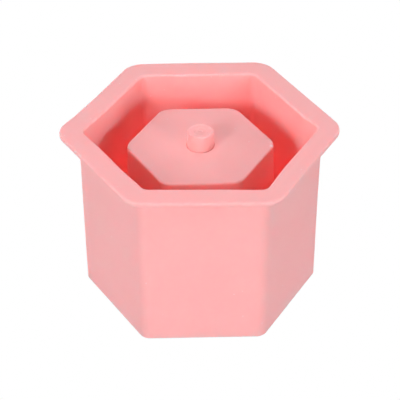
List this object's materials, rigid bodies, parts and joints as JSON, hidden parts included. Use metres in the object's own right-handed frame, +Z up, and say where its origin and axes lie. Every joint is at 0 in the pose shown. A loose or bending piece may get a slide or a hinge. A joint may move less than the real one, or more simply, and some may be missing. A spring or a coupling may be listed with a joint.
{
  "type": "planter casting mould",
  "caption": "Hexagonal soft silicone mould for casting a planter: flanged tub, lift-out hollow core, and a pull-out peg on the core that forms the drain hole.",
  "frame": {"origin": "centre of the flat underside, in the plane that the mould stands on", "axes": "+Z up through the core and the peg; +X through a corner of the hexagon; +Y square to a flat, the back"},
  "size_m": [0.1214, 0.108, 0.08],
  "materials": {
    "tub_silicone": "satin, moulded silicone rubber",
    "core_silicone": "satin, moulded silicone rubber",
    "peg_silicone": "satin, moulded silicone rubber"
  },
  "bodies": {
    "tub": {"mould_tub": "tub_silicone"},
    "core": {"core": "core_silicone"},
    "peg": {"drain_peg": "peg_silicone"}
  },
  "joints": [
    {"name": "core_lift", "type": "slide", "parent": "tub", "child": "core", "axis": [0, 0, 1], "range_m": [0, 0.085]},
    {"name": "peg_pull", "type": "slide", "parent": "core", "child": "peg", "axis": [0, 0, 1], "range_m": [0, 0.012]}
  ]
}
